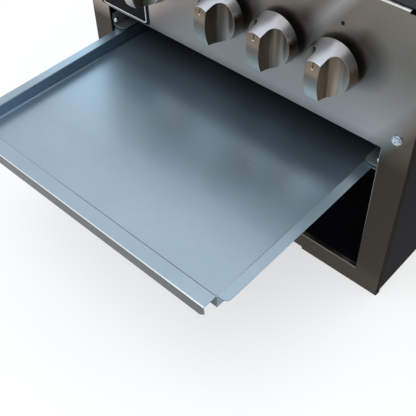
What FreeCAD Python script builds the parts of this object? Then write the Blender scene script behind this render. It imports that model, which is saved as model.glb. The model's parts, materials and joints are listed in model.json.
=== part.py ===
import FreeCAD
import Part
import Sketcher
import math
import os
import re

# Table-top gas grill: folded stainless front with an opening, a drip tray that slides out of it,
# three gas knobs and a rotary igniter on the panel, and the firebox with its burners behind.
# X runs to the viewer's right, -Y towards the viewer, +Z up, and Z = 0 is the table.
# The origin is the middle of the whole footprint with the tray pulled out as it stands at rest.

V = FreeCAD.Vector
doc = FreeCAD.newDocument("table_top_gas_grill")

# Driving dimensions in millimetres. Depths are counted from the fascia's front plane.
SIZES = {
    # Cabinet sheet metal
    "cabinet_width": 420,
    "cabinet_depth": 400,
    "panel_top": 337,
    "gauge": 1,
    "fold_radius": 1.1,
    "seam_gap": 0.2,
    "panel_height": 138.5,
    "post_width": 30,
    "rail_top": 24,
    "post_return": 16,
    "header_return": 12,
    "rail_return": 6,
    "side_return": 7,
    "top_return": 14,
    "top_notch": 2,
    "opening_corner": 0.8,
    "foot_length": 100,
    "foot_relief": 3.4,
    "side_flange": 24,
    "top_flange": 15,
    "base_height": 7,
    "vent_length": 60,
    "vent_width": 6,
    "vent_pitch": 16,
    "vent_height": 70,
    "vent_rows": 5,
    # Drip tray and its guides
    "tray_out": 217,
    "tray_proud": 12,
    "tray_end_gap": 1,
    "tray_drop": 28.7,
    "tray_side_gap": 5.5,
    "tray_depth": 14.5,
    "tray_gauge": 1,
    "tray_flange": 11,
    "tray_front_flange": 16,
    "tray_fold": 1.5,
    "tray_corner": 2.5,
    "lip_height": 15,
    "lip_lean": 1,
    "lip_clip": 5,
    "flange_corner": 6,
    "tray_play": 0.2,
    "keeper_gap": 2,
    "keeper_width": 16,
    "keeper_leg": 15,
    "keeper_corner": 7,
    "runner_width": 14,
    "runner_leg": 15,
    "guide_setback": 3,
    "guide_end_gap": 2,
    "guide_tab": 18,
    "rivet_inset": 6.5,
    "rivet_radius": 1.6,
    "rivet_head": 3.2,
    "rivet_dome": 3,
    "rivet_tail": 2.7,
    "rivet_tail_height": 0.9,
    # Knobs, valves and igniter
    "last_knob": 124,
    "knob_pitch": 63,
    "igniter_spacing": 98,
    "knob_drop": 72,
    "knob_radius": 25.9,
    "knob_nose": 18.2,
    "knob_blank": 35.5,
    "knob_gap": 6.5,
    "knob_high_end": 29,
    "knob_low_end": 26.9,
    "knob_crown": 52,
    "knob_rim": 10,
    "knob_edge": 0.5,
    "grip_width": 14.1,
    "grip_reach": 20.5,
    "scoop_radius": 11,
    "knob_bore": 22,
    "knob_push": 2.5,
    "spindle_radius": 4,
    "spindle_flat": 3,
    "spindle_tail": 2.5,
    "spindle_end_gap": 1,
    "running_gap": 0.05,
    "panel_hole": 5.5,
    "valve_radius": 11,
    "bonnet_radius": 9,
    "bonnet_front": 2,
    "bonnet_wall": 8,
    "chamber_radius": 6.5,
    "chamber_length": 14,
    "washer_thickness": 1.2,
    "washer_gap": 0.3,
    "valve_rear": 36,
    "outlet_radius": 5,
    "outlet_length": 8,
    "saddle_drop": 16,
    "saddle_front": 14,
    "igniter_radius": 11,
    "igniter_length": 42,
    "terminal_radius": 3,
    "terminal_length": 6,
    # Gas pipes
    "manifold_size": 16,
    "manifold_overhang": 32,
    "bracket_width": 18,
    "bracket_gauge": 1.5,
    "pipe_radius": 3,
    "pipe_bend": 7,
    "pipe_lead": 9,
    "injector_radius": 5,
    "injector_length": 10,
    "nozzle_length": 5,
    "feed_radius": 5,
    "feed_bend": 14,
    "feed_inset": 13,
    "inlet_shank": 6.4,
    "inlet_inside": 20,
    "inlet_hex": 17,
    "inlet_hex_length": 8,
    "inlet_thread": 6.58,
    "inlet_thread_length": 12,
    # Firebox, burners and grate
    "firebox_front": 96,
    "firebox_rear_gap": 14,
    "firebox_gap": 3.8,
    "firebox_wall": 1.2,
    "deck_setback": 4,
    "deck_inset": 2,
    "slope_fall": 22,
    "slope_run": 65,
    "window_inset": 45,
    "burner_drop": 94,
    "burner_pitch": 112,
    "burner_radius": 12.5,
    "burner_wall": 1.2,
    "mouth_radius": 14,
    "throat_radius": 8,
    "mouth_reach": 24,
    "burner_stub": 4,
    "stub_length": 8,
    "burner_end_gap": 2,
    "burner_floor_gap": 3.5,
    "port_width": 3,
    "port_length": 6,
    "port_pitch": 24,
    "ledge_gap": 1.5,
    "ledge_width": 12,
    "ledge_drop": 12,
    "tent_half_width": 30,
    "tent_rise": 22,
    "tent_gauge": 1.2,
    "tent_end_gap": 1,
    "grate_height": 10,
    "grate_overlap": 7,
    "grate_frame": 9,
    "grate_bar": 6,
    "grate_pitch": 20,
    "grate_bar_drop": 2,
    "electrode_offset": 20,
    "electrode_rise": 14,
    "electrode_radius": 4,
    "electrode_front": 20,
    "electrode_inside": 26,
    "electrode_wire": 1.2,
    "electrode_wire_length": 20,
    "lead_radius": 1.8,
    "lead_bend": 5,
    # Screws
    "screw_inset": 16,
    "screw_rise": 17.5,
    "screw_radius": 2.4,
    "screw_washer": 4.7,
    "screw_hex": 7.5,
    "screw_head": 3,
    "screw_dish": 2.8,
    "screw_dish_depth": 1,
    "screw_length": 9,
    "screw_play": 0.1,
    "rear_screw_inset": 40,
}

# Places that follow from the driving dimensions.
DERIVED = {
    "front": "(tray_out - cabinet_depth - inlet_hex_length - inlet_thread_length) / 2",
    "side_outer": "cabinet_width / 2 - gauge - seam_gap",
    "side_inner": "side_outer - gauge",
    "opening_half": "cabinet_width / 2 - post_width",
    "opening_top": "panel_top - panel_height",
    "tray_height": "opening_top - tray_drop",
    "tray_length": "cabinet_depth - gauge - tray_end_gap + tray_proud",
    "tray_pan_half": "opening_half - tray_side_gap - tray_flange",
    "keeper_bottom": "tray_height + keeper_gap",
    "keeper_rivet": "keeper_bottom + rivet_inset",
    "runner_top": "tray_height - tray_gauge - tray_play",
    "runner_rivet": "runner_top - rivet_inset",
    "guide_end": "cabinet_depth - gauge - guide_end_gap",
    "deck_top": "panel_top + firebox_wall",
    "knob_height": "panel_top - knob_drop",
    "first_knob": "last_knob - 2 * knob_pitch",
    "igniter_place": "first_knob - igniter_spacing",
    "manifold_left": "first_knob - manifold_overhang",
    "manifold_right": "last_knob + manifold_overhang",
    "manifold_top": "knob_height - saddle_drop",
    "manifold_axis": "manifold_top - manifold_size / 2",
    "manifold_place": "saddle_front + manifold_size / 2",
    "feed_place": "cabinet_width / 2 - feed_inset",
    "chamber_front": "bonnet_front + bonnet_wall",
    "outlet_end": "valve_rear + outlet_length",
    "firebox_half": "side_outer - top_flange - firebox_gap",
    "firebox_rear": "cabinet_depth - firebox_rear_gap",
    "burner_height": "panel_top - burner_drop",
    "slope_top": "burner_height - burner_radius - burner_floor_gap",
    "slope_bottom": "slope_top - slope_fall",
    "mouth_place": "firebox_front - mouth_reach",
    "burner_end": "firebox_rear - firebox_wall - burner_end_gap",
    "ledge_height": "burner_height + burner_radius + ledge_gap + ledge_drop",
    "electrode_place": "electrode_offset - burner_pitch",
    "electrode_height": "burner_height + electrode_rise",
    "grate_half": "firebox_half - firebox_wall + grate_overlap",
    "screw_place": "cabinet_width / 2 - screw_inset",
    "screw_height": "opening_top + screw_rise",
}

sheet = doc.addObject("Spreadsheet::Sheet", "sizes")
for row, (name, size) in enumerate(SIZES.items(), start=1):
    sheet.set(f"A{row}", name)
    sheet.set(f"B{row}", str(size))
    sheet.setAlias(f"B{row}", name)
for row, (name, formula) in enumerate(DERIVED.items(), start=len(SIZES) + 2):
    sheet.set(f"A{row}", name)
    sheet.set(f"B{row}", "=" + formula)
    sheet.setAlias(f"B{row}", name)
doc.recompute()

ALIASES = set(SIZES) | set(DERIVED)

# Two lengths closer than SNAP are the same, and so are two volumes with a ratio this close to one.
SNAP = 0.02
VOLUME_MATCH = 0.01


def linked(text):
    """Expression text for another object: every size name is read from the sheet."""
    def reference(match):
        word = match.group(0)
        return "sizes." + word if word in ALIASES else word
    return re.sub(r"[a-z_]+", reference, text)


def number(text):
    """The present value of an expression on the sheet's sizes."""
    return float(sheet.evalExpression(text))


def place(x="0", y="0", z="0"):
    """A point given by three expressions, with Y counted from the fascia's front plane."""
    return V(number(x), number("front + " + y), number(z))


def at(side, low, high):
    """Bounds on X for the right (+1) or left (-1) copy of a piece."""
    if side > 0:
        return (low, high)
    return (f"-({high})", f"-({low})")


# Building blocks: boxes, rods and their booleans

TURNS = {
    "x": FreeCAD.Rotation(V(0, 1, 0), 90),
    "y": FreeCAD.Rotation(V(1, 0, 0), -90),
    "z": FreeCAD.Rotation(),
}


def block(x, y, z, name="block"):
    """A box between two expressions on each axis; Y is counted from the front plane."""
    box = doc.addObject("Part::Box", name)
    box.setExpression("Length", linked(f"({x[1]}) - ({x[0]})"))
    box.setExpression("Width", linked(f"({y[1]}) - ({y[0]})"))
    box.setExpression("Height", linked(f"({z[1]}) - ({z[0]})"))
    box.setExpression("Placement.Base.x", linked(x[0]))
    box.setExpression("Placement.Base.y", linked("front + " + y[0]))
    box.setExpression("Placement.Base.z", linked(z[0]))
    return box


def rod(axis, start, radius, length, name="rod"):
    """A cylinder from a start point along one axis; Y is counted from the front plane."""
    cylinder = doc.addObject("Part::Cylinder", name)
    cylinder.Placement = FreeCAD.Placement(V(), TURNS[axis])
    cylinder.setExpression("Radius", linked(radius))
    cylinder.setExpression("Height", linked(length))
    cylinder.setExpression("Placement.Base.x", linked(start[0]))
    cylinder.setExpression("Placement.Base.y", linked("front + " + start[1]))
    cylinder.setExpression("Placement.Base.z", linked(start[2]))
    return cylinder


def fused(pieces, name="union"):
    union = doc.addObject("Part::MultiFuse", name)
    union.Shapes = pieces
    union.Refine = True
    return union


def cut(base, tools, name="cut"):
    result = doc.addObject("Part::Cut", name)
    result.Base = base
    result.Tool = tools[0] if len(tools) == 1 else fused(tools)
    result.Refine = True
    return result


# Building blocks: bodies made from sketches

def new_body(label, x="0", y="0", z="0", rotation=None):
    """A body whose own origin is bound to a point of the object."""
    body = doc.addObject("PartDesign::Body", label)
    body.Label = label
    if rotation is not None:
        body.Placement = FreeCAD.Placement(V(), rotation)
    body.setExpression("Placement.Base.x", linked(x))
    body.setExpression("Placement.Base.y", linked("front + " + y))
    body.setExpression("Placement.Base.z", linked(z))
    return body


def new_sketch(body, role, offset=None):
    sketch = body.newObject("Sketcher::SketchObject", body.Label + "_sketch")
    plane = next(item for item in body.Origin.OriginFeatures if item.Role == role)
    sketch.AttachmentSupport = (plane, [""])
    sketch.MapMode = "FlatFace"
    if offset is not None:
        sketch.setExpression("AttachmentOffset.Base.z", linked(offset))
    return sketch


def fix(sketch, geometry, point, x, y):
    """Bind one point of a sketch to two expressions."""
    for kind, axis, text in (("DistanceX", -2, x), ("DistanceY", -1, y)):
        if text == "0":
            sketch.addConstraint(Sketcher.Constraint("PointOnObject", geometry, point, axis))
        else:
            index = sketch.addConstraint(
                Sketcher.Constraint(kind, -1, 1, geometry, point, number(text)))
            sketch.setExpression(f"Constraints[{index}]", linked(text))


def bound_radius(sketch, geometry, text):
    index = sketch.addConstraint(Sketcher.Constraint("Radius", geometry, number(text)))
    sketch.setExpression(f"Constraints[{index}]", linked(text))


def outline(sketch, points, arcs=None):
    """A closed outline through points; arcs maps a point's index to (radius, bulge side).

    The arc runs from that point to the next one; side +1 keeps its centre on the left of the chord.
    """
    arcs = arcs or {}
    spots = [V(number(x), number(y), 0) for x, y in points]
    ends = []
    for index, start in enumerate(spots):
        finish = spots[(index + 1) % len(spots)]
        if index in arcs:
            radius, side = number(arcs[index][0]), arcs[index][1]
            chord = finish - start
            normal = V(-chord.y, chord.x, 0).normalize()
            drop = math.sqrt(max(radius ** 2 - (chord.Length / 2) ** 2, 0))
            centre = (start + finish) * 0.5 + normal * (drop * side)
            first, last = (start, finish) if side > 0 else (finish, start)
            angles = [math.atan2(spot.y - centre.y, spot.x - centre.x) for spot in (first, last)]
            circle = Part.Circle(centre, V(0, 0, 1), radius)
            made = sketch.addGeometry(Part.ArcOfCircle(circle, angles[0], angles[1]), False)
            ends.append((made, 1, 2) if side > 0 else (made, 2, 1))
        else:
            made = sketch.addGeometry(Part.LineSegment(start, finish), False)
            ends.append((made, 1, 2))
    for index, (made, _, last) in enumerate(ends):
        follower = ends[(index + 1) % len(ends)]
        sketch.addConstraint(Sketcher.Constraint("Coincident", made, last, follower[0], follower[1]))
    for (made, first, _), (x, y) in zip(ends, points):
        fix(sketch, made, first, x, y)
    for index, (radius, _) in arcs.items():
        bound_radius(sketch, ends[index][0], radius)


def rectangle(sketch, x, y):
    outline(sketch, [(x[0], y[0]), (x[1], y[0]), (x[1], y[1]), (x[0], y[1])])


def soft_rectangle(sketch, x, y, radius):
    """A rectangle with quarter-round corners."""
    left, right = f"{x[0]} + {radius}", f"{x[1]} - {radius}"
    low, high = f"{y[0]} + {radius}", f"{y[1]} - {radius}"
    outline(sketch, [
        (left, y[0]), (right, y[0]), (x[1], low), (x[1], high),
        (right, y[1]), (left, y[1]), (x[0], high), (x[0], low),
    ], {1: (radius, 1), 3: (radius, 1), 5: (radius, 1), 7: (radius, 1)})


def circle(sketch, x, y, radius):
    centre = V(number(x), number(y), 0)
    made = sketch.addGeometry(Part.Circle(centre, V(0, 0, 1), number(radius)), False)
    fix(sketch, made, 3, x, y)
    bound_radius(sketch, made, radius)


def pad(body, sketch, length, reverse=False, both_ways=False):
    feature = body.newObject("PartDesign::Pad", body.Label + "_pad")
    feature.Profile = sketch
    feature.setExpression("Length", linked(length))
    feature.Reversed = reverse
    if both_ways:
        feature.SideType = "Symmetric"
    return feature


def pocket(body, sketch, length=None, reverse=False, both_ways=False):
    """A cut from the sketch to a depth, or right through when no depth is given."""
    feature = body.newObject("PartDesign::Pocket", body.Label + "_pocket")
    feature.Profile = sketch
    if length is None:
        feature.Type = "ThroughAll"
    else:
        feature.setExpression("Length", linked(length))
    feature.Reversed = reverse
    if both_ways:
        feature.SideType = "Symmetric"
    return feature


def revolved(body, points, kind="PartDesign::Revolution", role="XY_Plane"):
    """Turn an outline of (radius, place along the axis) about the upright axis of its plane."""
    sketch = new_sketch(body, role)
    outline(sketch, points)
    feature = body.newObject(kind, body.Label + "_turned")
    feature.Profile = sketch
    feature.ReferenceAxis = (sketch, ["V_Axis"])
    feature.Angle = 360
    return feature


def row_of(body, feature, role, length, count):
    """Repeat a feature along one of the body's origin axes."""
    pattern = body.newObject("PartDesign::LinearPattern", body.Label + "_row")
    pattern.Originals = [feature]
    axis = next(item for item in body.Origin.OriginFeatures if item.Role == role)
    pattern.Direction = (axis, [""])
    pattern.setExpression("Length", linked(length))
    pattern.Occurrences = count
    body.Tip = pattern
    return pattern


def rounded(body, radius, chosen, kind="PartDesign::Fillet"):
    """Round or clip the edges of a body's present shape for which chosen(edge) holds."""
    doc.recompute()
    base = body.Tip
    names = [f"Edge{index}" for index, edge in enumerate(base.Shape.Edges, start=1) if chosen(edge)]
    feature = body.newObject(kind, body.Label + "_edges")
    feature.Base = (base, names)
    feature.setExpression("Radius" if kind.endswith("Fillet") else "Size", linked(radius))
    doc.recompute()
    return feature


def near(edge, x=None, y=None, z=None, along=None):
    """Whether an edge's middle has these coordinates (body's own), and runs along an axis."""
    box = edge.BoundBox
    middle = box.Center
    for want, have in ((x, middle.x), (y, middle.y), (z, middle.z)):
        if want is not None and abs(abs(have) - abs(want)) > SNAP:
            return False
    spans = {"x": box.XLength, "y": box.YLength, "z": box.ZLength}
    if along is None:
        return True
    return spans[along] > SNAP and all(span < SNAP for axis, span in spans.items() if axis != along)


def solid_node(label, shape):
    """A sub-part whose shape is worked out from the sheet in code."""
    feature = doc.addObject("Part::Feature", label)
    feature.Label = label
    feature.Shape = shape
    feature.Placement = FreeCAD.Placement()
    return feature


nodes = []


def keep(item, label):
    item.Label = label
    nodes.append(item)
    return item


# Front fascia: panel, posts and rail in one folded sheet

KNOB_PLACES = ["first_knob", "first_knob + knob_pitch", "last_knob"]


def make_fascia():
    body = new_body("front_fascia")
    half, top_half = "cabinet_width / 2", "(opening_half + gauge)"
    across, upright = ("-opening_half", "opening_half"), ("rail_top", "opening_top")
    sketch = new_sketch(body, "XZ_Plane")
    outline(sketch, [
        (f"-{half}", "0"),
        (f"-{half} + foot_length", "0"),
        (f"-{half} + foot_length", "foot_relief"),
        (f"{half} - foot_length", "foot_relief"),
        (f"{half} - foot_length", "0"),
        (half, "0"),
        (half, "panel_top - top_notch"),
        (top_half, "panel_top - top_notch"),
        (top_half, "panel_top"),
        (f"-{top_half}", "panel_top"),
        (f"-{top_half}", "panel_top - top_notch"),
        (f"-{half}", "panel_top - top_notch"),
    ])
    soft_rectangle(sketch, across, upright, "opening_corner")
    for x in KNOB_PLACES + ["igniter_place"]:
        circle(sketch, x, "knob_height", "panel_hole")
    for x in ("screw_place", "-screw_place"):
        circle(sketch, x, "screw_height", "screw_radius + screw_play")
    pad(body, sketch, "gauge", reverse=True)
    # A return folds back all round the opening, and further at the posts and under the panel
    sketch = new_sketch(body, "XZ_Plane")
    soft_rectangle(sketch, ("-opening_half - gauge", "opening_half + gauge"),
                   ("rail_top - gauge", "opening_top + gauge"), "(opening_corner + gauge)")
    soft_rectangle(sketch, across, upright, "opening_corner")
    pad(body, sketch, "rail_return", reverse=True)
    posts = ("rail_top + opening_corner", "opening_top - opening_corner")
    returns = [
        ("header_return", [(("-opening_half + opening_corner", "opening_half - opening_corner"),
                            ("opening_top", "opening_top + gauge"))]),
        ("post_return", [(at(side, "opening_half", "opening_half + gauge"), posts) for side in (1, -1)]),
        ("top_return", [((f"-{top_half}", top_half), ("panel_top - gauge", "panel_top"))]),
        ("side_return", [(at(side, f"{half} - gauge", half), ("0", "panel_top - top_notch"))
                         for side in (1, -1)]),
    ]
    for depth, strips in returns:
        sketch = new_sketch(body, "XZ_Plane")
        for x, z in strips:
            rectangle(sketch, x, z)
        pad(body, sketch, depth, reverse=True)
    sketch = new_sketch(body, "YZ_Plane")
    for height in ("keeper_rivet", "runner_rivet"):
        circle(sketch, "rivet_inset", height, "rivet_radius + running_gap")
    pocket(body, sketch, "2 * opening_half + 4 * gauge", both_ways=True)
    # Every fold is round on the front
    inner, outer, top = number("opening_half"), number(half), number("panel_top")
    rounded(body, "fold_radius", lambda edge: (
        near(edge, x=outer, y=0, along="z")
        or near(edge, x=inner, y=0, along="z")
        or near(edge, y=0, z=top, along="x")))
    return body


keep(make_fascia(), "front_fascia")


# Side panels, rear panel and base plate

FRAME_SIDES = {1: "right", -1: "left"}
REAR_SCREWS = ["rear_screw_inset", "panel_top / 2", "panel_top - rear_screw_inset"]


def make_side_panel(side):
    """A pan with its rim folded inwards, open towards the inside of the cabinet."""
    body = new_body(FRAME_SIDES[side] + "_side_panel", y="gauge")
    deep, inner_edge = "cabinet_depth - 2 * gauge", "side_outer - side_flange"
    sketch = new_sketch(body, "YZ_Plane", "side_outer" if side > 0 else "-side_outer")
    rectangle(sketch, ("0", deep), ("0", "panel_top"))
    pad(body, sketch, "side_flange", reverse=side > 0)
    sketch = new_sketch(body, "YZ_Plane", "side_inner" if side > 0 else "-side_inner")
    rectangle(sketch, ("gauge", f"{deep} - gauge"), ("gauge", "panel_top - gauge"))
    pocket(body, sketch, "side_flange", reverse=side < 0)
    # The top flange is narrower than the others, so that the firebox clears it
    sketch = new_sketch(body, "XY_Plane", "panel_top")
    rectangle(sketch, at(side, f"{inner_edge} - gauge", "side_outer - top_flange"),
              ("-gauge", f"{deep} + gauge"))
    pocket(body, sketch, "gauge")
    x, bore = f"{side} * screw_place", "screw_radius + screw_play"
    sketch = new_sketch(body, "XZ_Plane")
    circle(sketch, x, "screw_height", bore)
    pocket(body, sketch, "gauge")
    sketch = new_sketch(body, "XZ_Plane", f"-({deep})")
    for height in REAR_SCREWS:
        circle(sketch, x, height, bore)
    if side > 0:
        circle(sketch, "feed_place", "manifold_axis", "inlet_shank + screw_play")
    pocket(body, sketch, "gauge", reverse=True)
    outer = number("side_outer")
    rounded(body, "fold_radius", lambda edge: near(edge, x=outer) and edge.BoundBox.XLength < SNAP)
    return body


for side in (1, -1):
    keep(make_side_panel(side), FRAME_SIDES[side] + "_side_panel")


def make_rear_panel():
    body = new_body("rear_panel", y="cabinet_depth")
    sketch = new_sketch(body, "XZ_Plane")
    rectangle(sketch, ("-side_outer", "side_outer"), ("foot_relief", "panel_top"))
    circle(sketch, "feed_place", "manifold_axis", "inlet_shank + screw_play")
    for x in ("screw_place", "-screw_place"):
        for height in REAR_SCREWS:
            circle(sketch, x, height, "screw_radius + screw_play")
    pad(body, sketch, "gauge")
    # Tabs folded forward carry the rear ends of the tray guides
    sketch = new_sketch(body, "XZ_Plane")
    for side in (1, -1):
        rectangle(sketch, at(side, "opening_half", "opening_half + gauge"),
                  ("runner_top - gauge - runner_leg", "keeper_bottom + gauge + keeper_leg"))
    pad(body, sketch, "guide_tab + gauge")
    sketch = new_sketch(body, "YZ_Plane")
    for height in ("keeper_rivet", "runner_rivet"):
        circle(sketch, "-gauge - rivet_inset", height, "rivet_radius + running_gap")
    pocket(body, sketch, "2 * opening_half + 4 * gauge", both_ways=True)
    # Vent slots with round corners, in two columns
    sketch = new_sketch(body, "XZ_Plane")
    for side in (1, -1):
        slot = at(side, "vent_pitch", "vent_pitch + vent_length")
        soft_rectangle(sketch, slot, ("vent_height", "vent_height + vent_width"), "(vent_width / 3)")
    slots = pocket(body, sketch, "gauge", reverse=True)
    row_of(body, slots, "Z_Axis", "(vent_rows - 1) * vent_pitch", int(number("vent_rows")))
    return body


keep(make_rear_panel(), "rear_panel")


def make_base_plate():
    """A hat section whose brims lie on the bottom flanges of the side panels."""
    body = new_body("base_plate", y="2 * gauge")
    edge, brim = "(side_outer - side_flange)", "(side_outer - side_flange / 2)"
    sketch = new_sketch(body, "XZ_Plane")
    outline(sketch, [
        (f"-{brim}", "gauge"),
        (f"-{edge} + gauge", "gauge"),
        (f"-{edge} + gauge", "base_height - gauge"),
        (f"{edge} - gauge", "base_height - gauge"),
        (f"{edge} - gauge", "gauge"),
        (brim, "gauge"),
        (brim, "2 * gauge"),
        (edge, "2 * gauge"),
        (edge, "base_height"),
        (f"-{edge}", "base_height"),
        (f"-{edge}", "2 * gauge"),
        (f"-{brim}", "2 * gauge"),
    ])
    pad(body, sketch, "cabinet_depth - 4 * gauge", reverse=True)
    return body


keep(make_base_plate(), "base_plate")


# Tray guides: a keeper over each side flange of the tray, a runner under it, and their rivets

def make_guide(label, side, reach, low, leg, rivet, corner):
    """An angle along the opening's side: a level leg from low upwards and an upright leg with two rivets."""
    body = new_body(label, y="guide_setback")
    inner_edge, length = f"opening_half - {reach}", "guide_end - guide_setback"
    sketch = new_sketch(body, "XY_Plane", low)
    rectangle(sketch, at(side, inner_edge, "opening_half"), ("0", length))
    pad(body, sketch, "gauge")
    rounded(body, corner, lambda edge: near(edge, x=number(inner_edge), y=0, along="z"))
    sketch = new_sketch(body, "YZ_Plane", "opening_half - gauge" if side > 0 else "-opening_half")
    rectangle(sketch, ("0", length), leg)
    for y in ("rivet_inset - guide_setback", "cabinet_depth - gauge - rivet_inset - guide_setback"):
        circle(sketch, y, rivet, "rivet_radius + running_gap")
    pad(body, sketch, "gauge")
    return body


KEEPER_LEG = ("keeper_bottom", "keeper_bottom + gauge + keeper_leg")
RUNNER_LEG = ("runner_top - gauge - runner_leg", "runner_top")
for side in (1, -1):
    label = "tray_keeper_" + FRAME_SIDES[side]
    keep(make_guide(label, side, "keeper_width", "keeper_bottom", KEEPER_LEG,
                    "keeper_rivet", "keeper_corner"), label)
    label = "tray_runner_" + FRAME_SIDES[side]
    keep(make_guide(label, side, "runner_width", "runner_top - gauge", RUNNER_LEG,
                    "runner_rivet", "tray_corner"), label)


def make_rivets():
    """Domed rivets through guide leg and return, in one group."""
    head, dome, grip = number("rivet_head"), number("rivet_dome"), number("2 * gauge")
    tail_height = number("rivet_tail_height")
    ball = (head ** 2 + dome ** 2) / (2 * dome)
    crown = Part.makeSphere(ball, V(0, 0, dome - ball))
    rivet = crown.common(Part.makeBox(4 * head, 4 * head, 2 * dome, V(-2 * head, -2 * head, 0)))
    rivet = rivet.fuse(Part.makeCylinder(number("rivet_radius"), grip, V(0, 0, -grip)))
    rivet = rivet.fuse(Part.makeCylinder(number("rivet_tail"), tail_height, V(0, 0, -grip - tail_height)))
    rivet = rivet.removeSplitter()
    copies = []
    for side in (1, -1):
        turn = FreeCAD.Rotation(V(0, 1, 0), -90 * side)
        for y in ("rivet_inset", "cabinet_depth - gauge - rivet_inset"):
            for z in ("keeper_rivet", "runner_rivet"):
                copy = rivet.copy()
                spot = place(f"{side} * (opening_half - gauge)", y, z)
                copy.Placement = FreeCAD.Placement(spot, turn)
                copies.append(copy)
    return solid_node("guide_rivets", Part.makeCompound(copies))


keep(make_rivets(), "guide_rivets")


# Drip tray: folded pan, side and rear flanges, front apron with a lip

def make_tray():
    body = new_body("drip_tray", y="-tray_out", z="tray_height")
    half, rear_fold = "tray_pan_half", "tray_length - tray_flange"
    sketch = new_sketch(body, "XY_Plane")
    rectangle(sketch, (f"-{half} - tray_gauge", f"{half} + tray_gauge"),
              ("tray_front_flange - tray_gauge", f"{rear_fold} + tray_gauge"))
    pad(body, sketch, "tray_depth", reverse=True)
    sketch = new_sketch(body, "XY_Plane")
    rectangle(sketch, (f"-{half} - tray_flange", f"{half} + tray_flange"),
              ("tray_front_flange", "tray_length"))
    pad(body, sketch, "tray_gauge", reverse=True)
    sketch = new_sketch(body, "YZ_Plane")
    outline(sketch, [
        ("tray_front_flange", "-tray_gauge"),
        ("tray_front_flange", "0"),
        ("0", "0"),
        ("lip_lean", "-lip_height"),
        ("lip_lean + tray_gauge", "-lip_height"),
        ("tray_gauge", "-tray_gauge"),
    ])
    pad(body, sketch, "2 * tray_pan_half", both_ways=True)
    sketch = new_sketch(body, "XY_Plane")
    rectangle(sketch, (f"-{half}", half), ("tray_front_flange", rear_fold))
    pocket(body, sketch, "tray_depth - tray_gauge")
    side, flange_side = number(half), number(f"{half} + tray_flange")
    front, rear = number("tray_front_flange"), number(rear_fold)
    floor = number("tray_gauge - tray_depth")
    rounded(body, "tray_corner", lambda edge: (
        near(edge, x=side, along="z")
        and edge.BoundBox.Center.y > front - SNAP
        and edge.BoundBox.ZLength > number("tray_depth / 2")))
    rounded(body, "tray_fold", lambda edge: (
        (near(edge, x=side, z=0, along="y") and edge.BoundBox.YLength > rear / 2)
        or (near(edge, y=front, z=0, along="x") and edge.BoundBox.XLength > side)
        or near(edge, y=0, z=0, along="x")))
    rounded(body, "tray_corner", lambda edge: near(edge, x=side, z=floor, along="y"))
    rounded(body, "flange_corner", lambda edge: near(edge, x=flange_side, along="z"))
    rounded(body, "lip_clip", lambda edge: near(edge, x=side, z=-number("lip_height"), along="y"),
            "PartDesign::Chamfer")
    return body


keep(make_tray(), "drip_tray")


# Knobs: a tapered drum with a crowned bar grip left standing between two scoops

TOWARDS_VIEWER = FreeCAD.Rotation(V(1, 0, 0), 90)


def make_knob(label, x):
    body = new_body(label, x, "-knob_gap", "knob_height", TOWARDS_VIEWER)
    revolved(body, [
        ("0", "0"),
        ("knob_radius", "0"),
        ("knob_nose", "knob_blank"),
        ("0", "knob_blank"),
    ], role="XZ_Plane")
    above, beside = "knob_blank + knob_rim", "2 * knob_radius"
    # The face between the two ends of the grip is one arc, a little higher at the pointer end
    sketch = new_sketch(body, "YZ_Plane")
    outline(sketch, [
        ("-grip_reach", "knob_low_end"),
        ("grip_reach", "knob_high_end"),
        (beside, "knob_high_end"),
        (beside, above),
        (f"-{beside}", above),
        (f"-{beside}", "knob_low_end"),
    ], {0: ("knob_crown", -1)})
    pocket(body, sketch, both_ways=True)
    # Each scoop is upright along the grip and turns out level at the drum's rim
    sketch = new_sketch(body, "XZ_Plane")
    for side in (1, -1):
        outline(sketch, [
            (f"{side} * grip_width / 2", "knob_rim + scoop_radius"),
            (f"{side} * (grip_width / 2 + scoop_radius)", "knob_rim"),
            (f"{side} * {beside}", "knob_rim"),
            (f"{side} * {beside}", above),
            (f"{side} * grip_width / 2", above),
        ], {0: ("scoop_radius", side)})
    pocket(body, sketch, both_ways=True)
    rounded(body, "knob_edge", lambda edge: edge.BoundBox.ZMax > number("knob_rim - knob_edge"))
    # The socket fits the flatted end of the spindle
    sketch = new_sketch(body, "XY_Plane")
    bore, flat = "spindle_radius + running_gap", "spindle_flat + running_gap"
    reach = f"sqrt(({bore}) ^ 2 - ({flat}) ^ 2)"
    outline(sketch, [
        (reach, flat),
        (f"-{reach}", flat),
        ("0", f"-({bore})"),
    ], {1: (bore, 1), 2: (bore, 1)})
    pocket(body, sketch, "knob_bore", reverse=True)
    return body


# Valves: bonnet, barrel and outlet on a saddle, with the stepped bore of the spindle

def make_valve(label, x):
    body = new_body(label, x, "0", "knob_height")
    revolved(body, [
        ("0", "bonnet_front"),
        ("bonnet_radius", "bonnet_front"),
        ("bonnet_radius", "chamber_front"),
        ("valve_radius", "chamber_front"),
        ("valve_radius", "valve_rear"),
        ("outlet_radius", "valve_rear"),
        ("outlet_radius", "outlet_end"),
        ("0", "outlet_end"),
    ])
    sketch = new_sketch(body, "XY_Plane")
    rectangle(sketch, ("-valve_radius", "valve_radius"), ("saddle_front", "saddle_front + manifold_size"))
    pad(body, sketch, "saddle_drop", reverse=True)
    revolved(body, [
        ("0", "bonnet_front"),
        ("spindle_radius + running_gap", "bonnet_front"),
        ("spindle_radius + running_gap", "chamber_front"),
        ("chamber_radius", "chamber_front"),
        ("chamber_radius", "chamber_front + chamber_length"),
        ("0", "chamber_front + chamber_length"),
    ], "PartDesign::Groove")
    revolved(body, [
        ("0", "valve_rear"),
        ("pipe_radius + running_gap", "valve_rear"),
        ("pipe_radius + running_gap", "outlet_end"),
        ("0", "outlet_end"),
    ], "PartDesign::Groove")
    return body


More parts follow.
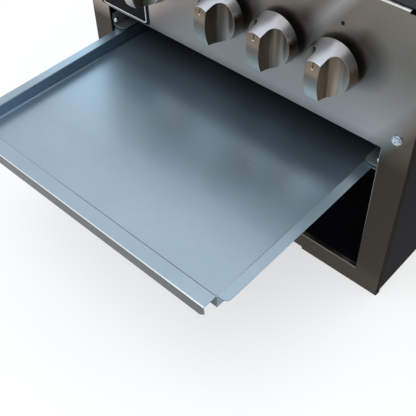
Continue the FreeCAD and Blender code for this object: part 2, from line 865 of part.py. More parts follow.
def make_spindle(label, x, tail_end):
    """A flatted shaft from the knob's socket to the shoulder in the valve, with a thin tail."""
    body = new_body(label, x, "0", "knob_height")
    start = "-knob_gap - knob_bore + running_gap"
    revolved(body, [
        ("0", start),
        ("spindle_radius", start),
        ("spindle_radius", "chamber_front"),
        ("spindle_tail", "chamber_front"),
        ("spindle_tail", tail_end),
        ("0", tail_end),
    ])
    sketch = new_sketch(body, "YZ_Plane")
    rectangle(sketch, (f"{start} - spindle_radius", "-knob_gap + running_gap"),
              ("spindle_flat", "2 * spindle_radius"))
    pocket(body, sketch, both_ways=True)
    return body


def make_washer(label, x):
    body = new_body(label, x, "chamber_front", "knob_height")
    inner, outer = "spindle_tail + running_gap", "chamber_radius - washer_gap"
    revolved(body, [
        (inner, "0"),
        (outer, "0"),
        (outer, "washer_thickness"),
        (inner, "washer_thickness"),
    ])
    return body


VALVE_TAIL = "chamber_front + chamber_length - knob_push - spindle_end_gap"
for index, x in enumerate(KNOB_PLACES, start=1):
    keep(make_knob(f"knob_{index}", x), f"knob_{index}")
    keep(make_spindle(f"spindle_{index}", x, VALVE_TAIL), f"spindle_{index}")
    keep(make_washer(f"thrust_washer_{index}", x), f"thrust_washer_{index}")
    keep(make_valve(f"gas_valve_{index}", x), f"gas_valve_{index}")


def make_igniter(label):
    """The rotary igniter's round housing, held behind the panel, with its terminal."""
    body = new_body(label, "igniter_place", "gauge", "knob_height")
    revolved(body, [
        ("0", "0"),
        ("igniter_radius", "0"),
        ("igniter_radius", "igniter_length"),
        ("terminal_radius", "igniter_length"),
        ("terminal_radius", "igniter_length + terminal_length"),
        ("0", "igniter_length + terminal_length"),
    ])
    revolved(body, [
        ("0", "0"),
        ("spindle_radius + running_gap", "0"),
        ("spindle_radius + running_gap", "chamber_front"),
        ("spindle_tail + running_gap", "chamber_front"),
        ("spindle_tail + running_gap", "igniter_length / 2"),
        ("0", "igniter_length / 2"),
    ], "PartDesign::Groove")
    return body


keep(make_knob("igniter_knob", "igniter_place"), "igniter_knob")
keep(make_spindle("igniter_spindle", "igniter_place", "igniter_length / 2"), "igniter_spindle")
keep(make_igniter("igniter_body"), "igniter_body")


# Gas pipes

def bent_path(points, radius):
    """A wire of straight runs joined by tangent arcs."""
    edges = []
    start = points[0]
    for before, corner, after in zip(points, points[1:], points[2:]):
        coming = (corner - before).normalize()
        going = (after - corner).normalize()
        turn = coming.getAngle(going)
        reach = radius * math.tan(turn / 2)
        first, last = corner - coming * reach, corner + going * reach
        inward = (going - coming).normalize()
        middle = corner + inward * (radius / math.cos(turn / 2) - radius)
        edges.append(Part.LineSegment(start, first).toShape())
        edges.append(Part.Arc(first, middle, last).toShape())
        start = last
    edges.append(Part.LineSegment(start, points[-1]).toShape())
    return Part.Wire(edges)


def bent_rod(label, points, radius, bend):
    """A round rod or pipe along straight runs and arcs, checked against section times length."""
    path = bent_path(points, number(bend))
    section = Part.Wire(Part.makeCircle(number(radius), points[0], points[1] - points[0]))
    shape = path.makePipeShell([section], True, True)
    expected = math.pi * number(radius) ** 2 * path.Length
    if abs(shape.Volume / expected - 1) > VOLUME_MATCH:
        raise ValueError(f"{label}: volume {shape.Volume} is not {expected}")
    return solid_node(label, shape)


def make_manifold():
    """A square tube under the valves, closed at both ends."""
    across = ("saddle_front", "saddle_front + manifold_size")
    up = ("manifold_top - manifold_size", "manifold_top")
    wall = "bracket_gauge"
    outer = block(("manifold_left", "manifold_right"), across, up)
    inner = block((f"manifold_left + {wall}", f"manifold_right - {wall}"),
                  (f"{across[0]} + {wall}", f"{across[1]} - {wall}"),
                  (f"{up[0]} + {wall}", f"{up[1]} - {wall}"))
    bore = rod("x", ("manifold_right - 2 * bracket_gauge", "manifold_place", "manifold_axis"),
               "feed_radius + running_gap", "4 * bracket_gauge")
    return cut(outer, [inner, bore], "gas_manifold")


keep(make_manifold(), "gas_manifold")


def make_brackets():
    """Two angles on the back of the panel whose shelves carry the manifold."""
    low = "manifold_top - manifold_size - bracket_gauge"
    pieces = []
    for x in ("last_knob - knob_pitch / 2", "last_knob - 3 * knob_pitch / 2"):
        across = (f"{x} - bracket_width / 2", f"{x} + bracket_width / 2")
        leg = block(across, ("gauge", "gauge + bracket_gauge"),
                    (f"{low} - manifold_size", f"{low} + bracket_gauge"))
        shelf = block(across, ("gauge", "saddle_front + manifold_size"), (low, f"{low} + bracket_gauge"))
        pieces.append(fused([leg, shelf]))
    group = doc.addObject("Part::Compound", "manifold_brackets")
    group.Links = pieces
    return group


keep(make_brackets(), "manifold_brackets")

BURNER_PLACES = ["-burner_pitch", "0", "burner_pitch"]
PIPE_START = "valve_rear + running_gap"
PIPE_END = "mouth_place + pipe_lead / 2"
for index, (valve, burner) in enumerate(zip(KNOB_PLACES, BURNER_PLACES), start=1):
    route = [
        place(valve, PIPE_START, "knob_height"),
        place(valve, "outlet_end + pipe_lead", "knob_height"),
        place(burner, f"{PIPE_END} - injector_length / 2 - pipe_lead", "burner_height"),
        place(burner, PIPE_END, "burner_height"),
    ]
    label = f"burner_pipe_{index}"
    keep(bent_rod(label, route, "pipe_radius", "pipe_bend"), label)


def make_injectors():
    """Brass nozzles on the pipes' ends, one at each burner's mouth."""
    radius, bore = number("injector_radius"), number("pipe_radius + running_gap")
    length, nozzle = number("injector_length"), number("nozzle_length")
    shape = Part.makeCylinder(radius, length)
    shape = shape.fuse(Part.makeCone(radius, radius / 2, nozzle, V(0, 0, length)))
    shape = shape.cut(Part.makeCylinder(bore, length / 2 + number("running_gap")))
    copies = []
    for x in BURNER_PLACES:
        spot = place(x, f"{PIPE_END} - injector_length / 2", "burner_height")
        copy = shape.copy()
        copy.Placement = FreeCAD.Placement(spot, TURNS["y"])
        copies.append(copy)
    return solid_node("injectors", Part.makeCompound(copies))


keep(make_injectors(), "injectors")

feed_route = [
    place("manifold_right - bracket_gauge", "manifold_place", "manifold_axis"),
    place("feed_place", "manifold_place", "manifold_axis"),
    place("feed_place", "cabinet_depth - inlet_inside / 2", "manifold_axis"),
]
keep(bent_rod("feed_pipe", feed_route, "feed_radius", "feed_bend"), "feed_pipe")


def make_inlet():
    """A bulkhead fitting: shank through the rear panel, hexagon against it, male thread behind."""
    body = new_body("gas_inlet_fitting", "feed_place", "cabinet_depth", "manifold_axis")
    revolved(body, [
        ("0", "-inlet_inside"),
        ("inlet_shank", "-inlet_inside"),
        ("inlet_shank", "inlet_hex_length / 2"),
        ("inlet_thread", "inlet_hex_length / 2"),
        ("inlet_thread", "inlet_hex_length + inlet_thread_length"),
        ("0", "inlet_hex_length + inlet_thread_length"),
    ])
    sketch = new_sketch(body, "XZ_Plane")
    flat, corner = "inlet_hex / 2", "inlet_hex / sqrt(3)"
    outline(sketch, [
        (flat, f"-{corner} / 2"),
        (flat, f"{corner} / 2"),
        ("0", corner),
        (f"-{flat}", f"{corner} / 2"),
        (f"-{flat}", f"-{corner} / 2"),
        ("0", f"-{corner}"),
    ])
    pad(body, sketch, "inlet_hex_length", reverse=True)
    revolved(body, [
        ("0", "-inlet_inside"),
        ("feed_radius + running_gap", "-inlet_inside"),
        ("feed_radius + running_gap", "-inlet_inside / 2 + running_gap"),
        ("0", "-inlet_inside / 2 + running_gap"),
    ], "PartDesign::Groove")
    revolved(body, [
        ("0", "inlet_hex_length"),
        ("pipe_radius", "inlet_hex_length"),
        ("pipe_radius", "inlet_hex_length + inlet_thread_length"),
        ("0", "inlet_hex_length + inlet_thread_length"),
    ], "PartDesign::Groove")
    return body


keep(make_inlet(), "gas_inlet_fitting")


# Firebox: a deck over the panel's folded top, four walls, and a floor that slopes to the drip window

def sloped_block(x_low, y_low, x_high, y_high, z, name="slope"):
    """A block that widens upwards from one rectangle to another, centred on X."""
    wedge = doc.addObject("Part::Wedge", name)
    wedge.Placement = FreeCAD.Placement(V(), FreeCAD.Rotation(V(1, 0, 0), 90))
    bounds = {
        "Xmin": f"-({x_low})", "Xmax": x_low, "X2min": f"-({x_high})", "X2max": x_high,
        "Zmin": f"-({y_low[1]})", "Zmax": f"-({y_low[0]})",
        "Z2min": f"-({y_high[1]})", "Z2max": f"-({y_high[0]})",
        "Ymin": "0", "Ymax": f"({z[1]}) - ({z[0]})",
    }
    for name, text in bounds.items():
        wedge.setExpression(name, linked(text))
    wedge.setExpression("Placement.Base.y", linked("front"))
    wedge.setExpression("Placement.Base.z", linked(z[0]))
    return wedge


def make_firebox():
    half, wall = "firebox_half", "firebox_wall"
    ends = ("firebox_front", "firebox_rear")
    inside = (f"{ends[0]} + {wall}", f"{ends[1]} - {wall}")
    window = ("firebox_front + window_inset", "firebox_rear - window_inset")
    window_half = "firebox_half - slope_run"
    slope = ("slope_bottom", "slope_top")
    outer = fused([
        block(("-side_outer + deck_inset", "side_outer - deck_inset"),
              ("deck_setback", "cabinet_depth - deck_inset"), ("panel_top", "deck_top")),
        block((f"-{half}", half), ends, ("slope_top", "panel_top")),
        sloped_block(window_half, window, half, ends, slope),
    ])
    hollow = fused([
        block((f"-{half} + {wall}", f"{half} - {wall}"), inside, ("slope_top", f"deck_top + {wall}")),
        sloped_block(f"{window_half} - {wall}", (f"{window[0]} + {wall}", f"{window[1]} - {wall}"),
                     f"{half} - {wall}", inside, slope),
    ])
    holes = []
    front_start, rear_start, through = f"{ends[0]} - {wall}", f"{ends[1]} - 2 * {wall}", f"3 * {wall}"
    for x in BURNER_PLACES:
        holes.append(rod("y", (x, front_start, "burner_height"), "burner_radius + seam_gap", through))
        holes.append(rod("y", (x, rear_start, "burner_height"), "burner_stub + seam_gap", through))
    holes.append(rod("y", ("electrode_place", front_start, "electrode_height"),
                     "electrode_radius + running_gap", through))
    return cut(outer, [hollow] + holes, "firebox")


keep(make_firebox(), "firebox")


# Burners: a flared mouth, a throat and a closed tube with a row of ports on each side

def make_burner(label, x):
    body = new_body(label, x, "mouth_place", "burner_height")
    wall, tube = "burner_wall", "burner_radius"
    length = "burner_end - mouth_place"
    stub_end = "firebox_rear - mouth_place + stub_length"
    throat = ("mouth_reach / 3", "mouth_reach / 2")
    revolved(body, [
        ("mouth_radius", "0"),
        ("throat_radius", throat[0]),
        ("throat_radius", throat[1]),
        (tube, "mouth_reach - 2 * burner_wall"),
        (tube, length),
        ("burner_stub", length),
        ("burner_stub", stub_end),
        ("0", stub_end),
        ("0", f"{length} - {wall}"),
        (f"{tube} - {wall}", f"{length} - {wall}"),
        (f"{tube} - {wall}", "mouth_reach - 2 * burner_wall"),
        (f"throat_radius - {wall}", throat[1]),
        (f"throat_radius - {wall}", throat[0]),
        (f"mouth_radius - {wall}", "0"),
    ])
    count = int(number("(burner_end - firebox_front) / port_pitch")) - 1
    sketch = new_sketch(body, "YZ_Plane")
    first = "mouth_reach + port_pitch"
    rectangle(sketch, (first, f"{first} + port_width"), ("0", "port_length"))
    ports = pocket(body, sketch, "3 * burner_radius", both_ways=True)
    row_of(body, ports, "Y_Axis", f"{count - 1} * port_pitch", count)
    return body


for index, x in enumerate(BURNER_PLACES, start=1):
    keep(make_burner(f"burner_{index}", x), f"burner_{index}")


# Heat tents over the burners, carried by an angle on the firebox's front and rear walls

def make_tent(label, x):
    body = new_body(label, x, "firebox_front + firebox_wall + tent_end_gap", "ledge_height")
    sketch = new_sketch(body, "XZ_Plane")
    edge = "tent_gauge * sqrt(2)"
    outline(sketch, [
        ("-tent_half_width", "0"),
        (f"-tent_half_width + {edge}", "0"),
        ("0", f"tent_rise - {edge}"),
        (f"tent_half_width - {edge}", "0"),
        ("tent_half_width", "0"),
        ("0", "tent_rise"),
    ])
    pad(body, sketch, "firebox_rear - firebox_front - 2 * firebox_wall - 2 * tent_end_gap", reverse=True)
    return body


for index, x in enumerate(BURNER_PLACES, start=1):
    keep(make_tent(f"heat_tent_{index}", x), f"heat_tent_{index}")


def make_ledges():
    half = "firebox_half - firebox_wall - seam_gap"
    across = (f"-({half})", half)
    inner = ("firebox_front + firebox_wall", "firebox_rear - firebox_wall")
    gauge = "tent_gauge"
    top = ("ledge_height - tent_gauge", "ledge_height")
    drop = ("ledge_height - ledge_drop", "ledge_height")
    pieces = [
        fused([block(across, (inner[0], f"{inner[0]} + ledge_width"), top),
               block(across, (inner[0], f"{inner[0]} + {gauge}"), drop)]),
        fused([block(across, (f"{inner[1]} - ledge_width", inner[1]), top),
               block(across, (f"{inner[1]} - {gauge}", inner[1]), drop)]),
    ]
    # The front angle is notched round the electrode
    notch = rod("y", ("electrode_place", inner[0], "electrode_height"),
                "electrode_radius + seam_gap", "ledge_width")
    pieces[0] = cut(pieces[0], [notch])
    group = doc.addObject("Part::Compound", "tent_ledges")
    group.Links = pieces
    return group


keep(make_ledges(), "tent_ledges")


# Cooking grate: a cast frame that overlaps the deck's opening, with bars from front to rear

def make_grate():
    body = new_body("cooking_grate", z="deck_top")
    x = "grate_half"
    y = ("firebox_front + firebox_wall - grate_overlap", "firebox_rear - firebox_wall + grate_overlap")
    sketch = new_sketch(body, "XY_Plane")
    rectangle(sketch, (f"-{x}", x), y)
    rectangle(sketch, (f"-{x} + grate_frame", f"{x} - grate_frame"),
              (f"{y[0]} + grate_frame", f"{y[1]} - grate_frame"))
    pad(body, sketch, "grate_height")
    sketch = new_sketch(body, "XY_Plane")
    rectangle(sketch, (f"-{x}", x),
              (f"({y[0]} + {y[1]} - grate_frame) / 2", f"({y[0]} + {y[1]} + grate_frame) / 2"))
    pad(body, sketch, "grate_height - grate_bar_drop")
    count = int(number("(2 * grate_half - 2 * grate_frame) / grate_pitch")) - 1
    sketch = new_sketch(body, "XZ_Plane", f"-({y[1]} - grate_frame / 2)")
    first = f"-{count - 1} * grate_pitch / 2"
    outline(sketch, [
        (f"{first} - grate_bar / 2", "grate_height"),
        (f"{first} - grate_bar / 3", "0"),
        (f"{first} + grate_bar / 3", "0"),
        (f"{first} + grate_bar / 2", "grate_height"),
    ])
    bar = pad(body, sketch, f"{y[1]} - ({y[0]}) - grate_frame")
    row_of(body, bar, "X_Axis", f"{count - 1} * grate_pitch", count)
    return body


keep(make_grate(), "cooking_grate")


# Spark electrode beside the left burner, and the lead that joins it to the igniter

def make_electrode():
    body = new_body("spark_electrode", "electrode_place", "firebox_front", "electrode_height")
    revolved(body, [
        ("0", "-electrode_front"),
        ("electrode_radius", "-electrode_front"),
        ("electrode_radius", "electrode_inside"),
        ("electrode_wire", "electrode_inside"),
        ("electrode_wire", "electrode_inside + electrode_wire_length"),
        ("0", "electrode_inside + electrode_wire_length"),
    ])
    return body


keep(make_electrode(), "spark_electrode")

TERMINAL_END = "gauge + igniter_length + terminal_length"
lead_route = [
    place("igniter_place", TERMINAL_END, "knob_height"),
    place("igniter_place", f"{TERMINAL_END} + lead_bend", "knob_height"),
    place("electrode_place", "firebox_front - electrode_front - lead_bend", "electrode_height"),
    place("electrode_place", "firebox_front - electrode_front", "electrode_height"),
]
keep(bent_rod("ignition_lead", lead_route, "lead_radius", "lead_bend"), "ignition_lead")


# Screws with a washer under a dished hexagon head

def screw_shape():
    radius, head = number("screw_radius"), number("screw_head")
    washer, gauge = number("screw_washer"), number("gauge")
    corner, turn = number("screw_hex / sqrt(3)"), math.pi / 3
    corners = [V(corner * math.cos(turn * k), corner * math.sin(turn * k), gauge) for k in range(7)]
    hexagon = Part.Face(Part.makePolygon(corners)).extrude(V(0, 0, head - gauge))
    dish, depth = number("screw_dish"), number("screw_dish_depth")
    hexagon = hexagon.cut(Part.makeCone(dish / 2, dish, depth, V(0, 0, head - depth)))
    shape = Part.makeCylinder(washer, gauge).fuse(hexagon)
    shape = shape.fuse(Part.makeCylinder(radius, number("screw_length"), V(0, 0, -number("screw_length"))))
    return shape.removeSplitter()


def screw_group(label, spots, rotation):
    copies = []
    for spot in spots:
        copy = screw_shape()
        copy.Placement = FreeCAD.Placement(spot, rotation)
        copies.append(copy)
    return solid_node(label, Part.makeCompound(copies))


front_spots = [place(f"{side} * screw_place", "0", "screw_height") for side in (1, -1)]
keep(screw_group("fascia_screws", front_spots, TOWARDS_VIEWER), "fascia_screws")
rear_spots = [place(f"{side} * screw_place", "cabinet_depth", z) for side in (1, -1) for z in REAR_SCREWS]
keep(screw_group("rear_screws", rear_spots, TURNS["y"]), "rear_screws")


# Check every object, then write each sub-part to its own file

doc.recompute()
failed = [item.Label for item in doc.Objects if "Invalid" in item.State or "Error" in item.State]
for item in nodes:
    shape = item.Shape
    if shape.isNull() or not shape.isValid() or not shape.Solids:
        failed.append(item.Label)
if failed:
    raise RuntimeError("no valid shape: " + ", ".join(failed))

os.makedirs("parts", exist_ok=True)
for item in nodes:
    item.Shape.exportStep(f"parts/{item.Label}.step")
    box = item.Shape.BoundBox
    print(f"{item.Label:22s} solids {len(item.Shape.Solids)}  volume {item.Shape.Volume:10.1f}"
          f"  x {box.XMin:7.1f} {box.XMax:7.1f}  y {box.YMin:7.1f} {box.YMax:7.1f}"
          f"  z {box.ZMin:6.1f} {box.ZMax:6.1f}")
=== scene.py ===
import bpy
import json
import math
from collections import namedtuple
from mathutils import Matrix, Vector
from mathutils.bvhtree import BVHTree


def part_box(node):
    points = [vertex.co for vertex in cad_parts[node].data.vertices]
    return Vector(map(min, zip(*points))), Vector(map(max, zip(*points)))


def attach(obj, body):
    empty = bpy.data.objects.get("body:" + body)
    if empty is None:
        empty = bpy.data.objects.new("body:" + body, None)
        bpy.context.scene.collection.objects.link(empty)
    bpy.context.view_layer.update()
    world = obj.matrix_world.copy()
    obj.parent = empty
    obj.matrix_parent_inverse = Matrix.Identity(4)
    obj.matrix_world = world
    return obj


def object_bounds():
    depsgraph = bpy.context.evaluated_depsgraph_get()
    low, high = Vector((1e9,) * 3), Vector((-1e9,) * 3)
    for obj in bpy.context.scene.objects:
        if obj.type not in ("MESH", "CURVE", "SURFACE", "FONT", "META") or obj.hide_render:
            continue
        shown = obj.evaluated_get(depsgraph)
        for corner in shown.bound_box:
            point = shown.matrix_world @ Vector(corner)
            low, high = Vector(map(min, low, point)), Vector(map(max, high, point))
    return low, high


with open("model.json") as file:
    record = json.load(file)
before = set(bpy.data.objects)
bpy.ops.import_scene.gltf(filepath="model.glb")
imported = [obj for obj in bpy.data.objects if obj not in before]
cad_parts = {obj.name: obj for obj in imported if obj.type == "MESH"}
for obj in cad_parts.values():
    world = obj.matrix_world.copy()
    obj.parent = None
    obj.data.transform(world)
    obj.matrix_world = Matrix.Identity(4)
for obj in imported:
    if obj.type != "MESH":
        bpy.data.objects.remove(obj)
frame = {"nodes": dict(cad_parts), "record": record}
cad_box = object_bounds()
nodes = frame["nodes"]

# Table-top gas grill: materials for every node, and the marks that are printed on the front.
# Metres throughout: X to the viewer's right, -Y towards the viewer, Z up from the table.

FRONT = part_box("front_fascia")[0].y
KNOB_BODIES = {
    "knob_1": "valve_1_turn",
    "knob_2": "valve_2_turn",
    "knob_3": "valve_3_turn",
    "igniter_knob": "igniter_turn",
}


def middle(name):
    """Middle of a node's box."""
    low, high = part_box(name)
    return (low + high) / 2


def panel_point(name):
    """The point of the panel behind a knob's middle."""
    centre = middle(name)
    return Vector((centre.x, FRONT, centre.z))


# Camera, at the photograph's viewing angle

CAMERA_AZIMUTH = math.radians(43.96)
CAMERA_ELEVATION = math.radians(47.55)
CAMERA_ROLL = math.radians(-2.11)
CAMERA_PLACE = Vector((0.387, FRONT - 0.439, 0.630))
CAMERA_LENS = 61.0
CAMERA_SENSOR = 36.0
CAMERA_CLIP = 0.01


def make_camera():
    azimuth, elevation = CAMERA_AZIMUTH, CAMERA_ELEVATION
    back = Vector((
        math.sin(azimuth) * math.cos(elevation),
        -math.cos(azimuth) * math.cos(elevation),
        math.sin(elevation),
    ))
    right = Vector((math.cos(azimuth), math.sin(azimuth), 0))
    up = back.cross(right)
    turn = Matrix((right, up, back)).transposed() @ Matrix.Rotation(CAMERA_ROLL, 3, "Z")
    data = bpy.data.cameras.new("camera")
    data.lens = CAMERA_LENS
    data.sensor_width = CAMERA_SENSOR
    data.clip_start = CAMERA_CLIP
    camera = bpy.data.objects.new("camera", data)
    camera.matrix_world = Matrix.Translation(CAMERA_PLACE) @ turn.to_4x4()
    bpy.context.scene.collection.objects.link(camera)
    bpy.context.scene.camera = camera


# Node helpers

# A colour laid over another where a measure goes from start, with none of it, to end, with all of it.
Tint = namedtuple("Tint", "start end colour")


def set_inputs(node, values):
    """Link or set a node's inputs, by name or number."""
    for name, value in values.items():
        socket = node.inputs[name]
        if isinstance(value, bpy.types.NodeSocket):
            node.id_data.links.new(value, socket)
        else:
            socket.default_value = value


def add(tree, kind, values=None, **settings):
    """A new node with its settings and inputs."""
    node = tree.nodes.new(kind)
    for name, value in settings.items():
        setattr(node, name, value)
    set_inputs(node, values or {})
    return node


def surface(name, **values):
    """A new material with one main shader; values go to the shader's sockets."""
    material = bpy.data.materials.new(name)
    material.use_nodes = True
    tree = material.node_tree
    shader = tree.nodes["Principled BSDF"]
    set_inputs(shader, {key.replace("_", " "): value for key, value in values.items()})
    return material, tree, shader


def place(tree, stretch=(1, 1, 1)):
    """Coordinates of the piece in metres, scaled along its own axes."""
    source = add(tree, "ShaderNodeTexCoord")
    return add(tree, "ShaderNodeVectorMath", {0: source.outputs["Object"], 1: stretch},
               operation="MULTIPLY").outputs[0]


def axes(tree, vector):
    """X, Y and Z of a vector."""
    return add(tree, "ShaderNodeSeparateXYZ", {0: vector}).outputs


def facing(tree):
    """X, Y and Z of the direction in which a face of the piece looks."""
    return axes(tree, add(tree, "ShaderNodeTexCoord").outputs["Normal"])


def measure(tree, operation, first, second):
    """One number from two vectors, such as their distance."""
    return add(tree, "ShaderNodeVectorMath", {0: first, 1: second}, operation=operation).outputs["Value"]


def calculate(tree, operation, first, second=0.0):
    """One number from one or two numbers."""
    return add(tree, "ShaderNodeMath", {0: first, 1: second}, operation=operation).outputs[0]


def both(tree, first, second):
    """The product of two masks."""
    return calculate(tree, "MULTIPLY", first, second)


def noise(tree, vector, scale, detail=2.0, roughness=0.5):
    """A soft texture with values round 0.5."""
    return add(tree, "ShaderNodeTexNoise", {
        "Vector": vector, "Scale": scale, "Detail": detail, "Roughness": roughness,
    }).outputs["Fac"]


def spread(tree, value, low, high, source=(0.3, 0.7)):
    """Map a range, the middle of a texture's unless it is given, to low..high."""
    return add(tree, "ShaderNodeMapRange", {
        "Value": value, "From Min": source[0], "From Max": source[1], "To Min": low, "To Max": high,
    }).outputs["Result"]


def rising(tree, value, start, end):
    """A mask that is 0 at start and 1 at end, whichever is larger."""
    return spread(tree, value, 0.0, 1.0, (start, end))


def blend(tree, factor, first, second):
    """A mix of two colours, each a link or three numbers."""
    mix = add(tree, "ShaderNodeMix", data_type="RGBA")
    factors = [socket for socket in mix.inputs if socket.name == "Factor" and socket.type == "VALUE"]
    colours = [socket for socket in mix.inputs if socket.type == "RGBA"]
    for socket, value in ((factors[0], factor), (colours[0], first), (colours[1], second)):
        if isinstance(value, bpy.types.NodeSocket):
            tree.links.new(value, socket)
        else:
            socket.default_value = (*value, 1)
    return next(socket for socket in mix.outputs if socket.type == "RGBA")


def tinted(tree, colour, value, tint):
    """A colour with a tint over it where the value asks for it."""
    return blend(tree, rising(tree, value, tint.start, tint.end), colour, tint.colour)


def bumped(tree, height, strength, distance):
    """Normals of a surface with fine relief."""
    return add(tree, "ShaderNodeBump", {
        "Height": height, "Strength": strength, "Distance": distance,
    }).outputs[0]


# Brushed stainless front

STEEL_LINES = ((0.47, 0.38, 0.325), (0.52, 0.42, 0.362))
STEEL_CLOUD = (0.45, 0.38, 0.33)
# Painted highlight colour, for the streaks above the knobs and the top fold.
STEEL_PAINTED_HIGHLIGHT = (0.62, 0.61, 0.60)
LINE_STRETCH = (9, 9, 2200)
# Painted reflection: the upper panel, the right end, the posts and the rail are browner and darker.
TOP_LEAN = (0.15, 0.0, 1.0)
TOP_PAINTED_REFLECTION = Tint(0.25, 0.32, (0.225, 0.20, 0.165))
END_LEAN = (1.0, 0.0, -0.635)
END_PAINTED_REFLECTION = Tint(0.036, 0.066, (0.10, 0.09, 0.073))
POST_PAINTED_REFLECTION = Tint(0.21, 0.18, (0.044, 0.040, 0.030))
RAIL_PAINTED_REFLECTION = Tint(0.04, 0.02, (0.068, 0.058, 0.045))
# Painted shade: a dark patch on the panel up and right of each knob.
SHADE_PATCH_OFFSET = Vector((0.022, 0, 0.013))
SHADE_PATCH_REACH = (0.033, 0.016)
SHADE_PATCH_STRENGTH = 0.75
SHADE_PATCH_COLOUR = (0.045, 0.043, 0.04)
# Painted highlight: a light band of painted reflection leaning up from each knob.
STREAK_ACROSS = (0.8, 0.0, -0.6)
STREAK_ALONG = (0.6, 0.0, 0.8)
STREAK_OFFSET = 0.036
STREAK_WIDTH = 0.010
STREAK_START = (-0.01, 0.03)
STREAK_STRENGTH = 0.45
# Painted shade on the right fold: a darker colour and a dimmer sheen where the face looks right.
RIGHT_FOLD_SHADE = Tint(0.05, 0.35, (0.036, 0.034, 0.031))
RIGHT_FOLD_SHADED_SHEEN = Tint(0.05, 0.35, (0.38, 0.37, 0.36))
FACES_LEFT = (-0.15, -0.5)
FACES_UP = (0.3, 0.7)
# Painted highlight: a pale inner edge on the posts, where the face looks left.
INNER_EDGE_HEIGHT = (0.06, 0.16)
INNER_EDGE_HIGHLIGHT = (0.85, 0.83, 0.80)
# Painted highlight: a light top fold.
TOP_FOLD_HEIGHT = (0.28, 0.31)
# Painted highlight: a light brown edge along the top of the rail.
RAIL_EDGE_HEIGHT = (0.05, 0.03)
RAIL_EDGE_HIGHLIGHT = (0.46, 0.38, 0.29)


def shade_patch(tree, spot, name):
    """Mask of the painted shade on the panel, a dark patch up and right of a knob."""
    distance = measure(tree, "DISTANCE", spot, panel_point(name) + SHADE_PATCH_OFFSET)
    return spread(tree, distance, 0.0, SHADE_PATCH_STRENGTH, SHADE_PATCH_REACH)


def reflection_streak(tree, spot, name):
    """Mask of a painted highlight: a soft band of painted reflection that leans up from the left shoulder of
    a knob.
    """
    offset = add(tree, "ShaderNodeVectorMath", {0: spot, 1: panel_point(name)}, operation="SUBTRACT")
    across = measure(tree, "DOT_PRODUCT", offset.outputs[0], STREAK_ACROSS)
    along = measure(tree, "DOT_PRODUCT", offset.outputs[0], STREAK_ALONG)
    aside = calculate(tree, "ABSOLUTE", calculate(tree, "ADD", across, STREAK_OFFSET))
    return both(tree, spread(tree, aside, 0.0, STREAK_STRENGTH, (STREAK_WIDTH, 0.0)),
                rising(tree, along, *STREAK_START))


def stainless():
    """Fine level lines that stretch reflections upright. Painted reflections make the upper panel, the posts,
    the rail and the right end browner and darker; painted shade darkens a patch beside each knob and the
    right fold; painted highlights brighten a streak above each knob, the inner post edges, the rail edge and
    the top fold.
    """
    material, tree, shader = surface("stainless", Metallic=1.0, Anisotropic=0.7)
    spot = place(tree)
    lines = noise(tree, place(tree, LINE_STRETCH), 1.0, 3.0)
    cloud = noise(tree, spot, 7.0)
    height = axes(tree, spot)["Z"]
    look = facing(tree)
    upright = add(tree, "ShaderNodeVectorTransform", {0: (0.0, 0.0, 1.0)}, vector_type="VECTOR",
                  convert_from="OBJECT", convert_to="WORLD")
    colour = blend(tree, spread(tree, lines, 0.0, 1.0), *STEEL_LINES)
    colour = blend(tree, spread(tree, cloud, 0.0, 0.5), colour, STEEL_CLOUD)
    # Painted reflection: browner and darker towards the top, the right end, the posts and the rail.
    colour = tinted(tree, colour, measure(tree, "DOT_PRODUCT", spot, TOP_LEAN), TOP_PAINTED_REFLECTION)
    colour = tinted(tree, colour, measure(tree, "DOT_PRODUCT", spot, END_LEAN), END_PAINTED_REFLECTION)
    colour = tinted(tree, colour, height, POST_PAINTED_REFLECTION)
    colour = tinted(tree, colour, height, RAIL_PAINTED_REFLECTION)
    # Painted shade: a dark patch beside each knob.
    for name in KNOB_BODIES:
        colour = blend(tree, shade_patch(tree, spot, name), colour, SHADE_PATCH_COLOUR)
    # Painted highlight: a light streak leaning up from each knob.
    for name in KNOB_BODIES:
        colour = blend(tree, reflection_streak(tree, spot, name), colour, STEEL_PAINTED_HIGHLIGHT)
    # Painted shade on the right fold.
    colour = tinted(tree, colour, look["X"], RIGHT_FOLD_SHADE)
    upper = rising(tree, look["Z"], *FACES_UP)
    # Painted highlight on the inner post edges.
    inner_edge_highlight = both(tree, rising(tree, look["X"], *FACES_LEFT), rising(tree, height, *INNER_EDGE_HEIGHT))
    # Painted highlight on the rail's upper edge.
    colour = blend(tree, both(tree, upper, rising(tree, height, *RAIL_EDGE_HEIGHT)), colour, RAIL_EDGE_HIGHLIGHT)
    colour = blend(tree, inner_edge_highlight, colour, INNER_EDGE_HIGHLIGHT)
    # Painted highlight on the top fold.
    colour = blend(tree, both(tree, upper, rising(tree, height, *TOP_FOLD_HEIGHT)), colour, STEEL_PAINTED_HIGHLIGHT)
    set_inputs(shader, {
        "Base Color": colour,
        "Roughness": spread(tree, lines, 0.28, 0.34),
        "Normal": bumped(tree, lines, 0.03, 0.0001),
        "Tangent": upright.outputs[0],
        # Painted shade: the right fold's sheen is dimmed.
        "Specular Tint": tinted(tree, (1.0, 1.0, 1.0), look["X"], RIGHT_FOLD_SHADED_SHEEN),
    })
    return material


# Galvanised tray

WHOLE_RANGE = (0.0, 1.0)
ZINC_CLOUD = ((0.28, 0.36, 0.42), (0.42, 0.525, 0.615))
ZINC_MOTTLE = (0.50, 0.57, 0.64)
# Painted shade: the walls are darker and duller.
ZINC_WALL_SHADE = (0.18, 0.26, 0.34)
# Painted reflection: a blue band across the tray at this depth.
BAND_FRONT = (-0.24, -0.15)
BAND_REAR = (-0.06, -0.11)
BAND_REFLECTION = (0.45, 0.65, 0.82)
UPRIGHT_WALL_SHADE = Tint(0.8, 0.2, ZINC_WALL_SHADE)
LEFT_WALL_SHADE = Tint(0.1, 0.4, ZINC_WALL_SHADE)
